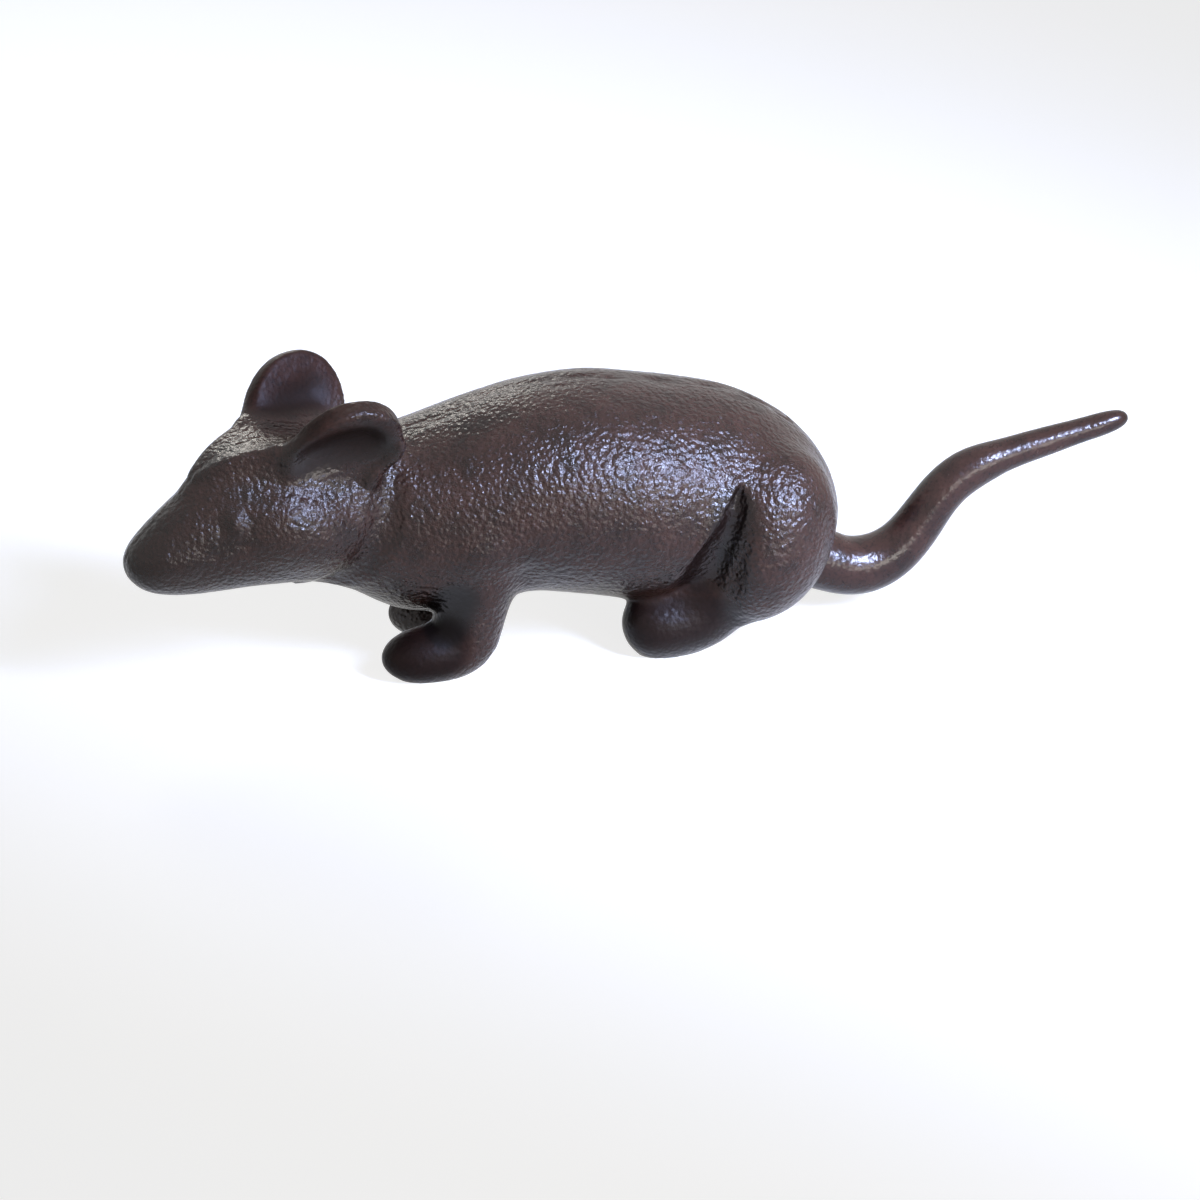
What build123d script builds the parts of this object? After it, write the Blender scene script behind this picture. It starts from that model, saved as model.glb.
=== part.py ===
"""Mouse figurine in cast iron, free-standing on its four feet.

Two hollow half castings meet on a parting face that runs along the spine and bends with the turned head.
A separate tail casting is clamped by its root flange between them, and one long screw joins the halves.
+X points to the tail, -Y to the mouse's left side and +Z up. The soles stand on Z = 0.
"""

import os
from math import cos, radians, sin

from build123d import *

# Overall size, in millimetres
overall_length = 188.0
rump_reach = 38.2
back_height = 50.4
trunk_height = 40.6
trunk_width = 43.0

# Spine in plan: straight through the body, bent at the neck, straight through the turned head
body_run = 74.8
head_turn_deg = 12.0
neck_bend_radius = 60.0

# Trunk sections from rump to nose: shares of the spine's run for the station, of back_height
# for the centre, and of trunk_height and trunk_width for the section itself
rump_height_share = 0.43
nose_height_share = 0.545
trunk_section_shares = (
    (0.006, 0.430, 0.300, 0.320),
    (0.025, 0.430, 0.560, 0.540),
    (0.067, 0.455, 0.800, 0.780),
    (0.141, 0.505, 0.950, 0.930),
    (0.230, 0.545, 1.000, 1.000),
    (0.331, 0.592, 1.000, 1.000),
    (0.494, 0.592, 0.885, 0.880),
    (0.606, 0.540, 0.830, 0.740),
    (0.682, 0.590, 0.690, 0.580),
    (0.770, 0.632, 0.615, 0.590),
    (0.860, 0.622, 0.560, 0.450),
    (0.940, 0.568, 0.390, 0.300),
    (0.982, 0.545, 0.220, 0.200),
    (0.995, 0.545, 0.120, 0.110),
)

# Crown: the flat forehead between the ears, drawn to a narrow bridge on the snout; shares of the spine's
# run, of back_height for the centre and of crown_width for the section
crown_thickness = 9.0
crown_width = 18.0
crown_edge_radius = 1.4
crown_section_shares = (
    (0.640, 0.770, 0.75),
    (0.720, 0.826, 1.00),
    (0.800, 0.856, 0.82),
    (0.860, 0.818, 0.48),
    (0.925, 0.664, 0.22),
)

# Ears: flat-backed lobes on the crown's widest section, leaning outwards and cupped on the outer face
ear_rise = 3.0
ear_offset = 12.0
ear_length = 24.0
ear_width = 19.5
ear_rake_deg = 36.0
ear_lean_deg = 24.0
ear_face_forward_deg = 10.0
ear_cup_radius = 21.0
ear_cup_depth = 2.0
ear_thickness = 4.2

# Haunches: a swollen thigh on each side of the rump, its top leaning back
haunch_x = 21.4
haunch_offset = 11.5
haunch_centre_height = 22.0
haunch_length = 27.0
haunch_width = 25.0
haunch_height = 34.0
haunch_tilt_deg = 20.0
haunch_blend_radius = 5.0

# Thigh creases: a fold between the flank and each thigh that widens downwards; shares of the haunch's length
# ahead of its centre, of its width outwards, of its height upwards, and of its width for the radius
crease_section_shares = (
    (0.144, 0.284, 0.441, 0.000),
    (0.304, 0.444, 0.029, 0.160),
    (0.441, 0.320, -0.265, 0.264),
    (0.515, 0.180, -0.470, 0.320),
)

# Legs: the right feet stand one stride behind the left ones
stride = 6.0
front_leg_x = -31.0
front_leg_offset = 9.8
front_leg_top = 24.0
front_leg_length = 13.5
front_leg_width = 11.0
front_leg_section_shares = (
    (1.00, 0.20, 1.20, 1.10),
    (0.55, 0.02, 1.00, 1.00),
    (0.18, -0.12, 0.88, 0.92),
)

# Feet: smooth lobes lofted from heel to toe, shares of length from the heel, of height for the centre,
# and of height and width for the section
front_foot_heel_x = -27.0
front_foot_length = 20.8
front_foot_width = 11.5
front_foot_height = 10.5
front_foot_section_shares = (
    (0.06, 0.46, 0.45, 0.50),
    (0.30, 0.44, 0.95, 0.90),
    (0.60, 0.40, 1.00, 1.00),
    (0.86, 0.38, 0.72, 0.78),
    (0.96, 0.37, 0.40, 0.46),
)
hind_foot_heel_x = 24.5
hind_foot_offset = 9.8
hind_foot_length = 27.9
hind_foot_width = 12.5
hind_foot_height = 13.0
hind_foot_section_shares = (
    (0.05, 0.90, 0.50, 0.50),
    (0.28, 0.66, 0.90, 0.90),
    (0.50, 0.47, 0.98, 1.00),
    (0.74, 0.41, 1.00, 1.00),
    (0.91, 0.42, 0.80, 0.80),
    (0.98, 0.43, 0.42, 0.44),
)

# Tail: a straight stem with a flange inside the body, then a double curve that rises to the tip
tail_root_radius = 5.5
tail_tip_height = 32.2
stem_start_x = 26.0
stem_start_height = 14.0
stem_exit_height = 9.6
flange_radius = 7.2
flange_thickness = 3.5
tail_path_shares = (
    (0.085, 0.262),
    (0.230, 0.352),
    (0.335, 0.575),
    (0.460, 0.765),
    (0.628, 0.860),
    (1.000, 1.000),
)
tail_radius_shares = (
    (0.00, 1.00),
    (0.08, 0.97),
    (0.18, 0.88),
    (0.30, 0.78),
    (0.42, 0.73),
    (0.56, 0.61),
    (0.72, 0.50),
    (0.88, 0.40),
    (0.965, 0.33),
    (0.992, 0.20),
)

# Hollow inside: the wall, and the stretch of the spine's run whose trunk sections the core follows
wall = 4.5
core_start_share = 0.14
core_end_share = 0.61

# Joining screw across the body, from the right flank into a tapped boss of the left half
screw_x = -5.0
screw_height = 29.5
screw_radius = 2.5
screw_head_radius = 4.4
screw_head_height = 3.4
screw_head_sink = 2.6
screw_slot_width = 1.2
screw_slot_depth = 1.6
screw_reach = 11.0
boss_radius = 7.5
tap_run_out = 1.5

# Locating pegs of the left half, one in the head and one in the rump, at shares of the spine's run
peg_radius = 2.5
peg_length = 4.0
peg_chamfer = 0.5
head_peg_share = 0.745
head_peg_height = 31.0
rump_peg_share = 0.085
rump_peg_height = 29.0

# Clearances, and how far cutting shapes overrun
seat_clearance = 0.1
screw_clearance = 0.25
socket_depth_clearance = 0.5
overrun = 10.0

nose_x = -overall_length / 2
tail_reach = overall_length / 2 - rump_reach

with BuildLine(Plane.XY) as spine:
    body_line = Line((rump_reach, 0), (rump_reach - body_run, 0))
    neck_bend = JernArc(body_line @ 1, body_line % 1, neck_bend_radius, head_turn_deg)
    head_start = neck_bend @ 1
    head_run = (head_start.X - nose_x) / cos(radians(head_turn_deg))
    head_line = Line(head_start, head_start + (neck_bend % 1) * head_run)
spine_wire = spine.wire()


def spine_plane(run_share, height):
    """Upright plane square to the spine, its x to the mouse's left and its normal to the nose."""
    place = spine_wire.position_at(run_share)
    ahead = spine_wire.tangent_at(run_share)
    return Plane(origin=(place.X, place.Y, height), x_dir=(-ahead.Y, ahead.X, 0), z_dir=ahead)


def ellipsoid(length, width, height):
    """Solid with three unequal diameters, centred at the origin."""
    return scale(Sphere(1), by=(length / 2, width / 2, height / 2))


# Trunk and crown
with BuildPart() as trunk:
    rings = [Vertex(*spine_plane(0, rump_height_share * back_height).origin)]
    for run_share, centre_share, height_share, width_share in trunk_section_shares:
        with BuildSketch(spine_plane(run_share, centre_share * back_height)) as ring:
            Ellipse(width_share * trunk_width / 2, height_share * trunk_height / 2)
        rings.append(ring.sketch)
    rings.append(Vertex(*spine_plane(1, nose_height_share * back_height).origin))
    loft(sections=rings)

with BuildPart() as crown:
    for run_share, centre_share, width_share in crown_section_shares:
        with BuildSketch(spine_plane(run_share, centre_share * back_height)):
            RectangleRounded(width_share * crown_width, crown_thickness, crown_edge_radius)
    loft()


# Ears
def ear_plane(side):
    """Plane of one ear's rim, its normal out of the cup; side is 1 for the left ear and -1 for the right."""
    run_share, centre_share = max(crown_section_shares, key=lambda shares: shares[-1])[:2]
    head = spine_plane(run_share, centre_share * back_height + ear_rise)
    outward = head.x_dir * side
    turn, lean, rake = radians(ear_face_forward_deg), radians(ear_lean_deg), radians(ear_rake_deg)
    along = head.z_dir * cos(turn) - outward * sin(turn)
    across = head.z_dir * sin(turn) + outward * cos(turn)
    facing = across * cos(lean) - Vector(0, 0, 1) * sin(lean)
    upright = across * sin(lean) + Vector(0, 0, 1) * cos(lean)
    tip_dir = upright * cos(rake) - along * sin(rake)
    return Plane(origin=head.origin + outward * ear_offset, x_dir=tip_dir, z_dir=facing)


def ear(side):
    """Elliptical lobe with a ball-shaped cup in its outer face."""
    rim = ear_plane(side)
    with BuildPart() as lobe:
        with BuildSketch(rim):
            Ellipse(ear_length / 2, ear_width / 2)
        extrude(amount=-ear_thickness)
        with Locations(rim.offset(ear_cup_radius - ear_cup_depth)):
            Sphere(ear_cup_radius, mode=Mode.SUBTRACT)
    return lobe.part


left_ear = ear(1)
right_ear = ear(-1)


# Legs and feet
def foot(heel_x, length, width, height, section_shares):
    """Lobe along X from heel to toe, on the spine's line and standing on Z = 0."""
    with BuildPart() as lobe:
        rings = []
        for run_share, centre_share, height_share, width_share in section_shares:
            ring_plane = Plane.YZ.offset(heel_x - run_share * length)
            with BuildSketch(ring_plane) as ring:
                with Locations((0, centre_share * height)):
                    Ellipse(width_share * width / 2, height_share * height / 2)
            rings.append(ring.sketch)
        toe_height = section_shares[-1][1] * height
        rings.append(Vertex(heel_x - length, 0, toe_height))
        loft(sections=rings)
    return lobe.part


front_foot = foot(front_foot_heel_x, front_foot_length, front_foot_width, front_foot_height,
                  front_foot_section_shares)
hind_foot = foot(hind_foot_heel_x, hind_foot_length, hind_foot_width, hind_foot_height,
                 hind_foot_section_shares)
haunch = ellipsoid(haunch_length, haunch_width, haunch_height)

with BuildPart() as front_leg:
    for height_share, lag_share, length_share, width_share in front_leg_section_shares:
        with BuildSketch(Plane.XY.offset(height_share * front_leg_top)):
            with Locations((front_leg_x + lag_share * front_leg_length, 0)):
                Ellipse(length_share * front_leg_length / 2, width_share * front_leg_width / 2)
    loft()
    add(front_foot)

# Fold in front of the left thigh
with BuildPart() as crease:
    middle = Vector(haunch_x, -haunch_offset, haunch_centre_height)
    places = [middle + Vector(-ahead * haunch_length, -outwards * haunch_width, upwards * haunch_height)
              for ahead, outwards, upwards, _ in crease_section_shares]
    rings = [Vertex(*places[0])]
    for before, place, shares in zip(places, places[1:], crease_section_shares[1:]):
        with BuildSketch(Plane(origin=place, x_dir=(1, 0, 0), z_dir=place - before)) as ring:
            Circle(shares[-1] * haunch_width)
        rings.append(ring.sketch)
    loft(sections=rings)

# Whole figure, before it is hollowed and parted
with BuildPart() as figure:
    add(trunk.part)
    with Locations(
        Location((haunch_x, -haunch_offset, haunch_centre_height), (0, haunch_tilt_deg, 0)),
        Location((haunch_x, haunch_offset, haunch_centre_height), (0, haunch_tilt_deg, 0)),
    ):
        add(haunch)
    fillet(figure.edges(Select.NEW), haunch_blend_radius)
    add(crease.part, mode=Mode.SUBTRACT)
    add(mirror(crease.part, about=Plane.XZ), mode=Mode.SUBTRACT)
    with Locations((0, -front_leg_offset, 0), (stride, front_leg_offset, 0)):
        add(front_leg.part)
    with Locations((0, -hind_foot_offset, 0), (stride, hind_foot_offset, 0)):
        add(hind_foot)
    add(crown.part)
    add(left_ear)
    add(right_ear)
    split(bisect_by=Plane.XY, keep=Keep.TOP)

# Tail
stem_start = Vector(stem_start_x, 0, stem_start_height)
stem_exit = Vector(rump_reach, 0, stem_exit_height)
stem_plane = Plane(origin=stem_start, x_dir=(0, 1, 0), z_dir=stem_exit - stem_start)
stem_length = (stem_exit - stem_start).length

with BuildLine() as tail_line:
    bends = [Vector(rump_reach + x_share * tail_reach, 0, z_share * tail_tip_height)
             for x_share, z_share in tail_path_shares]
    Spline(stem_exit, *bends, tangents=(stem_plane.z_dir, bends[-1] - bends[-2]))
tail_wire = tail_line.wire()

with BuildPart() as tail_casting:
    rings = []
    for run_share, radius_share in tail_radius_shares:
        place = tail_wire.position_at(run_share)
        ahead = tail_wire.tangent_at(run_share)
        with BuildSketch(Plane(origin=place, x_dir=(0, 1, 0), z_dir=ahead)) as ring:
            Circle(radius_share * tail_root_radius)
        rings.append(ring.sketch)
    rings.append(Vertex(*tail_wire.position_at(1)))
    loft(sections=rings)
    with BuildSketch(stem_plane) as stem_section:
        Circle(tail_root_radius)
    extrude(stem_section.sketch, amount=stem_length)
    with BuildSketch(stem_plane) as flange_section:
        Circle(flange_radius)
    extrude(flange_section.sketch, amount=flange_thickness)

tail_casting.part.label = "tail_casting"

# Core that hollows the trunk, one wall inside its sections
with BuildPart() as core:
    for run_share, centre_share, height_share, width_share in trunk_section_shares:
        if core_start_share <= run_share <= core_end_share:
            with BuildSketch(spine_plane(run_share, centre_share * back_height)):
                Ellipse(width_share * trunk_width / 2 - wall, height_share * trunk_height / 2 - wall)
    loft()

# Screw axis: square to the parting face, its plane's normal to the right flank
screw_plane = Plane(origin=(screw_x, 0, screw_height), x_dir=(1, 0, 0), z_dir=(0, 1, 0))
head_seat = trunk_width / 2 - screw_head_sink - screw_head_height
boss_end = trunk_width / 2 - wall / 2

# Tail seat: a bore for the stem and a wider pocket for the flange, shared by both halves
with BuildPart() as tail_seat:
    with BuildSketch(stem_plane) as bore_section:
        Circle(tail_root_radius + seat_clearance)
    extrude(bore_section.sketch, amount=stem_length + overrun)
    with BuildSketch(stem_plane.offset(-seat_clearance)) as pocket_section:
        Circle(flange_radius + seat_clearance)
    extrude(pocket_section.sketch, amount=flange_thickness + 2 * seat_clearance)

with BuildPart() as shell:
    add(figure.part)
    add(core.part, mode=Mode.SUBTRACT)
    with BuildSketch(screw_plane):
        Circle(boss_radius)
    extrude(amount=boss_end, both=True)
    add(tail_seat.part, mode=Mode.SUBTRACT)

# Region on the mouse's left of the parting face, which follows the spine in plan
nose_end = spine_wire.position_at(1) + spine_wire.tangent_at(1) * overrun
tail_end = Vector(rump_reach + overrun, 0)
left_edge = -(trunk_width + haunch_width)
with BuildPart() as left_region:
    with BuildSketch(Plane.XY.offset(-overrun)):
        with BuildLine():
            Line(tail_end, body_line @ 0)
            add(body_line)
            add(neck_bend)
            add(head_line)
            Line(head_line @ 1, nose_end)
            Polyline(nose_end, (nose_end.X, left_edge), (tail_end.X, left_edge), tail_end)
        make_face()
    extrude(amount=back_height + ear_length + 2 * overrun)


def peg_plane(run_share, height):
    """Plane on the parting face, its normal to the mouse's right."""
    upright = spine_plane(run_share, height)
    return Plane(origin=upright.origin, x_dir=(0, 0, 1), z_dir=-upright.x_dir)


peg_planes = (peg_plane(head_peg_share, head_peg_height), peg_plane(rump_peg_share, rump_peg_height))

# Left half: pegs on its parting face and a blind tapped hole in its boss
with BuildPart() as left_half_casting:
    add(shell.part)
    add(left_region.part, mode=Mode.INTERSECT)
    for place in peg_planes:
        with BuildSketch(place.offset(-peg_length)):
            Circle(peg_radius)
        extrude(amount=2 * peg_length)
        tip = left_half_casting.faces(Select.LAST).sort_by(Axis(place.origin, place.z_dir))[-1]
        chamfer(tip.edges(), peg_chamfer)
    with BuildSketch(screw_plane):
        Circle(screw_radius + seat_clearance)
    extrude(amount=-(screw_reach + tap_run_out), mode=Mode.SUBTRACT)
left_half_casting.part.label = "left_half_casting"

# Right half: sockets for the pegs, and a clearance hole with a counterbore for the screw's head
with BuildPart() as right_half_casting:
    add(shell.part)
    add(left_region.part, mode=Mode.SUBTRACT)
    for place in peg_planes:
        with BuildSketch(place):
            Circle(peg_radius + seat_clearance)
        extrude(amount=peg_length + socket_depth_clearance, mode=Mode.SUBTRACT)
    with BuildSketch(screw_plane):
        Circle(screw_radius + screw_clearance)
    extrude(amount=head_seat, mode=Mode.SUBTRACT)
    with BuildSketch(screw_plane.offset(head_seat)):
        Circle(screw_head_radius + screw_clearance)
    extrude(amount=screw_head_height + screw_head_sink + overrun, mode=Mode.SUBTRACT)
right_half_casting.part.label = "right_half_casting"

# Joining screw: a slotted cheese head on a plain shank
with BuildPart() as joining_screw:
    with BuildSketch(screw_plane.offset(-screw_reach)):
        Circle(screw_radius)
    extrude(amount=screw_reach + head_seat)
    with BuildSketch(screw_plane.offset(head_seat)):
        Circle(screw_head_radius)
    extrude(amount=screw_head_height)
    with BuildSketch(screw_plane.offset(head_seat + screw_head_height)):
        Rectangle(2 * screw_head_radius + overrun, screw_slot_width)
    extrude(amount=-screw_slot_depth, mode=Mode.SUBTRACT)
joining_screw.part.label = "joining_screw"

os.makedirs("parts", exist_ok=True)
for piece in (left_half_casting, right_half_casting, tail_casting, joining_screw):
    export_step(piece.part, f"parts/{piece.part.label}.step")
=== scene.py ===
"""Looks of the cast-iron mouse figurine: grained skins for its castings, a turned screw and a plain stage.

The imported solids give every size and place. Each casting's skin is grown from a copy of its solid:
a fine remesh, poured-looking fillets, modelled creases and a sand-cast grain.
"""

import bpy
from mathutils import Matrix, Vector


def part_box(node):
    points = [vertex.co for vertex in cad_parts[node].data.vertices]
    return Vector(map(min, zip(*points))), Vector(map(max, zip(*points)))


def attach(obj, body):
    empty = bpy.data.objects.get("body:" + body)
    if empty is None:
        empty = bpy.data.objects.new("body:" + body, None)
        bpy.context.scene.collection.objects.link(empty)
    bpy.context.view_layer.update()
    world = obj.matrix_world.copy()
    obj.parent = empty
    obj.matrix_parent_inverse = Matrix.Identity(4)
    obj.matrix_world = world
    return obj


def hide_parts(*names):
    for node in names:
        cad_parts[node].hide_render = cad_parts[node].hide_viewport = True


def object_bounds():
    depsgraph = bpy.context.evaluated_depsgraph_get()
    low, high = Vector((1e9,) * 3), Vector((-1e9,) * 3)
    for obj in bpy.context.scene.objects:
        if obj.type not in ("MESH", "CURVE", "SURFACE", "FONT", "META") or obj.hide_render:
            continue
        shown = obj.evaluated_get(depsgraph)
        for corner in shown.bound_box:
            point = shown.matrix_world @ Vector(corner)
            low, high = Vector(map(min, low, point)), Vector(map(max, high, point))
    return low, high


bl_info = {
    "name": "Cast-iron mouse figurine",
    "version": (1, 0, 0),
    "blender": (4, 5, 0),
    "location": "3D View > Sidebar > Figurine",
    "description": "Dresses the packed solids of a cast-iron mouse in lacquered, sand-cast skins",
    "category": "Object",
}

from math import cos, pi, radians, sin

import bmesh
import bpy
import numpy as np
from mathutils import Matrix, Vector

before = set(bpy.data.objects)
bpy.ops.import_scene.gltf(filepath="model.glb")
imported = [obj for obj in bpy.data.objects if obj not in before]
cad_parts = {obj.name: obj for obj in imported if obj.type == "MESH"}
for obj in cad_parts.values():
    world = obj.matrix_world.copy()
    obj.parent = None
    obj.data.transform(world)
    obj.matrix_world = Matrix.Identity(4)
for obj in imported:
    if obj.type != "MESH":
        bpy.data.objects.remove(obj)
cad_low, cad_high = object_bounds()

MM = 0.001

# Plan of the spine, as the solids have it: a straight body, a bent neck and a straight, turned head
NOSE_X = -94.0 * MM
NECK_START_X = -36.6 * MM
NECK_RADIUS = 60.0 * MM
HEAD_TURN = radians(12.0)
HEAD_START = np.array((NECK_START_X - NECK_RADIUS * sin(HEAD_TURN), NECK_RADIUS * (cos(HEAD_TURN) - 1)))
FORWARD = np.array((-cos(HEAD_TURN), -sin(HEAD_TURN)))
RIGHTWARD = np.array((-sin(HEAD_TURN), cos(HEAD_TURN)))
NECK_RUN = NECK_RADIUS * HEAD_TURN
NOSE_RUN = NECK_RUN + (HEAD_START[0] - NOSE_X) / cos(HEAD_TURN)

# Stem of the tail inside the rump, and the screw's shank
STEM_START = Vector((26.0, 0.0, 14.0)) * MM
STEM_EXIT = Vector((38.2, 0.0, 9.6)) * MM
STEM_RADIUS = 5.5 * MM
SCREW_X = -5.0 * MM
SCREW_HEIGHT = 29.5 * MM
SHANK_RADIUS = 2.5 * MM
HEAD_HEIGHT = 3.4 * MM

# The screw's turned details: bevels, tip, thread and slot
SCREW_BEVEL = 0.5 * MM
SCREW_STEPS = 24
TIP_LEAD = 0.8 * MM
TIP_DROP = 0.9 * MM
THREAD_ROWS = 8
THREAD_DEPTH = 0.45 * MM
SLOT_DEPTH = 1.6 * MM
SLOT_WIDTH = 1.2 * MM

# Plugs that close the holes inside the figure before it is remeshed
PLUG_OVERRUN = 2.0 * MM
SHANK_PLUG_MARGIN = 1.0 * MM
STEM_PLUG_SHARES = (-0.1, 0.6)
STEM_PLUG_MARGIN = 2.2 * MM

# Faces that keep the solids' shape: the screw's counterbore, the tail's bore and the soles
COUNTERBORE_REACH = 5.2 * MM
TAIL_BORE_MARGIN = 0.7 * MM
SOLE_HEIGHT = 0.3 * MM

# Smoothing: share of the way that a pass moves each point, passes, and the swell that gives volume back
FILL_STEP = 0.7
SOFTEN_STEP = 0.5
HOLLOW_STEP = 0.8
HOLLOW_DEPTH = 1.4 * MM
EDGE_PASSES = 6
EDGE_SWELL = 0.15
TAIL_PASSES = 8
TAIL_SWELL = 0.38

# Grain: what is left of it on the soles, on dull faces and on the tail, and the seeds of its noise
SOLE_GRAIN_HEIGHT = 0.4 * MM
SOLE_GRAIN = 0.2
DULL_GRAIN_LOSS = 0.3
TAIL_GRAIN = 0.25
BODY_SEED = 3
TAIL_SEED = 8

# Patterns of the finishes, as widths and heights of the real marks
PEBBLE_WIDTH = 0.95 * MM
GRIT_WIDTH = 0.6 * MM
PATCH_WIDTH = 9.0 * MM
RUN_WIDTH = 6.0 * MM
BUMP_HEIGHT = 0.3 * MM
RING_WIDTH = 0.5 * MM
RING_HEIGHT = 0.03 * MM
WAVE_RATE = 20
SCUFF_WIDTH = 1.5 * MM

# Remeshing, and cutting the skin on the parting face
WELD = MM / 1000
CUT_TOLERANCE = MM / 10000
PLUG_SEGMENTS = 48
NECK_CUTS = 7
NOISE_KNOTS = 256
CASTING_SHARP = radians(62.0)
SCREW_SHARP = radians(30.0)

# Stage: the floor, how far it is lifted to white, the room's light and the camera's sensor in mm
FLOOR_HALF = 3.0
FLOOR_LIFT = 0.8
ROOM_COLOUR = "#e9edf5"
ROOM_STRENGTH = 0.025
SENSOR_WIDTH = 36.0
LIGHT_MIDDLE_X = 20.0 * MM

# Soft lights: name, azimuth and elevation in degrees, distance in m, width and height in m, power in W,
# colour, the place on the figurine's length that the light faces in mm, and its spread in degrees
LIGHTS = (
    ("window", 35.0, 34.0, 0.6, (0.22, 0.4), 1.2, "#c2d1ff", 75.0, 30.0),
    ("lower pane", 16.0, 5.0, 0.5, (0.26, 0.1), 0.8, "#fff9f2", 40.0, 180.0),
    ("card", 172.0, 24.0, 0.8, (1.0, 0.45), 0.1, "#fdf8ee", 0.0, 180.0),
    ("head card", -168.0, 28.0, 0.34, (0.12, 0.12), 0.01, "#fdf8ee", -75.0, 20.0),
)

# Modelled strokes on both sides of the body: radius and depth in mm, then the path as places
# (behind the nose, off the spine, above the floor) in mm; a positive depth raises the skin
STROKES = {
    "forehead valley": (7.5, -0.7, ((25, 0, 47), (33, 0, 46), (42, 0, 45))),
    "brow ridge": (2.0, 0.5, ((14, 1.0, 42.5), (19, 4.0, 45.3), (26, 7.2, 47.3))),
    "eye socket": (3.0, -0.2, ((14.8, 7.0, 35.2), (15.6, 7.3, 34.8))),
    "eyeball": (2.7, 0.75, ((17.6, 8.0, 35.6), (18.0, 8.2, 34.6))),
    "mouth corner": (1.4, -0.35, ((13.0, 6.6, 30.0), (14.8, 7.4, 29.6))),
    "whisker pad": (4.0, 0.45, ((6.5, 4.6, 28.5), (9.5, 5.6, 28.5))),
    "ear cup": (5.5, -0.9, ((31.5, 10.8, 45.5), (40.5, 12.4, 48.2))),
    "ear hem": (2.6, 0.9, ((47.4, 14.6, 46.0), (45.3, 12.6, 42.2), (43.2, 11.2, 39.6))),
    "cheek": (9.0, 1.0, ((27, 11.5, 33), (32, 12.5, 31))),
    "neck groove": (4.6, -1.2, ((47, 12.5, 40), (44.5, 13.2, 32), (41, 11.5, 24), (37, 7.0, 19.0))),
    "jaw flash": (0.7, 0.3, ((31, 4.0, 20.0), (34.5, 4.5, 20.3), (38, 5.0, 19.2), (40.5, 5.5, 18.6))),
    "flank edge": (3.4, 0.5, ((110.0, 19.0, 34.0), (106.0, 21.2, 28.0), (102.6, 21.2, 20.5))),
    "shoulder": (7.5, 0.8, ((64.0, 17.0, 24.0), (66.0, 16.0, 18.0))),
    "elbow": (4.5, -0.6, ((72.0, 17.5, 19.5), (74.0, 16.0, 13.0))),
}

# Where the poured fillets stay small: radius in mm, share of the fillet that is kept, and the path;
# they come back over the blur, in mm
SHARP_BLUR = 3.0
SHARP_PLACES = (
    (4.5, 0.04, ((111.4, 20.2, 33.0), (108.8, 21.5, 24.0), (106.0, 18.5, 16.0))),
    (7.0, 0.35, ((34.0, 14.0, 45.0), (40.0, 14.0, 48.0))),
)

# Edges that run out softly: radius in mm and the path
SOFT_EDGES = (
    (4.5, ((115.5, 20.5, 30.0), (114.5, 21.5, 22.0), (112.5, 19.0, 13.0))),
    (8.5, ((124.6, 0.0, 39.0), (121.5, 6.0, 40.3), (118.3, 11.7, 39.3), (113.8, 18.0, 37.2))),
    (5.0, ((30.0, 7.0, 47.5), (40.0, 8.0, 48.0))),
    (4.5, ((97.0, 12.0, 13.0), (103.0, 14.0, 13.5), (108.0, 15.5, 13.5))),
)

# Webs of metal between parts of the body: the balls that each one wraps, as place and radius in mm
WEBS = (
    ((24.5, 6.0, 45.6, 1.0), (30.6, 11.6, 50.4, 1.2), (31.0, 9.0, 46.6, 1.2)),
    ((112.5, 17.6, 16.5, 2.0), (104.0, 13.2, 9.0, 1.8), (112.0, 14.6, 7.5, 2.4), (118.0, 16.5, 12.0, 2.4)),
    ((106.0, 13.6, 13.0, 1.6), (100.5, 11.6, 11.0, 1.6), (104.0, 12.0, 9.0, 1.6), (110.0, 15.0, 12.0, 2.0)),
)

# The cut in front of the thigh: its top and its lower end on the flank (behind the nose, height),
# the width of its wall, how wide it opens, how far it runs out backwards, its depth and the distance from
# the spine where it starts, all in mm; then how fast it fades in and out along its run, and where it ends
CUT_TOP = np.array((110.8, 35.4))
CUT_END = np.array((98.6, 18.4))
CUT_WALL = 0.9
CUT_OPENING = 9.0
CUT_RUN = 2.5
CUT_DEPTH = 1.9
CUT_FROM_SPINE = 9.0
CUT_FADE_IN = 9.0
CUT_FADE_OUT = 2.5
CUT_LAST_SHARE = 1.05

# Faces that keep a dull, dry skin: radius in mm, share of the dullness, and the path
DULL_PLACES = (
    (8.5, 1.0, ((34.0, 9.0, 52.0), (42.0, 10.0, 52.0))),
    (8.0, 1.0, ((57.0, 14.5, 7.0), (48.0, 13.0, 6.0))),
    (8.0, 0.8, ((94.0, 13.5, 8.0), (103.0, 14.5, 10.0))),
)

# Places with a smoother skin than the rest, most of them also given painted shade in the near-black colour:
# radius in mm, share of the grain that stays, share of painted shade, and the path
SMOOTH_PLACES = (
    (7.0, 0.5, 1.0, ((60.0, 12.0, 16.0), (58.0, 12.0, 10.0))),
    (8.0, 0.5, 0.8, ((56.0, 14.5, 6.0), (48.0, 13.0, 5.0))),
    (9.0, 0.5, 0.8, ((94.0, 13.5, 5.0), (108.0, 14.5, 7.0))),
    (7.0, 0.3, 0.7, ((32.0, 11.0, 45.5), (41.0, 13.5, 47.5))),
    (9.0, 0.6, 0.0, ((34.0, 9.0, 52.0), (42.0, 10.0, 52.0))),
    (8.0, 0.7, 0.4, ((3.0, 1.0, 27.0), (8.0, 3.0, 28.0))),
    (6.0, 0.8, 0.8, ((109.0, 20.0, 30.0), (106.5, 19.0, 22.0), (103.5, 16.0, 16.0))),
)

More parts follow.
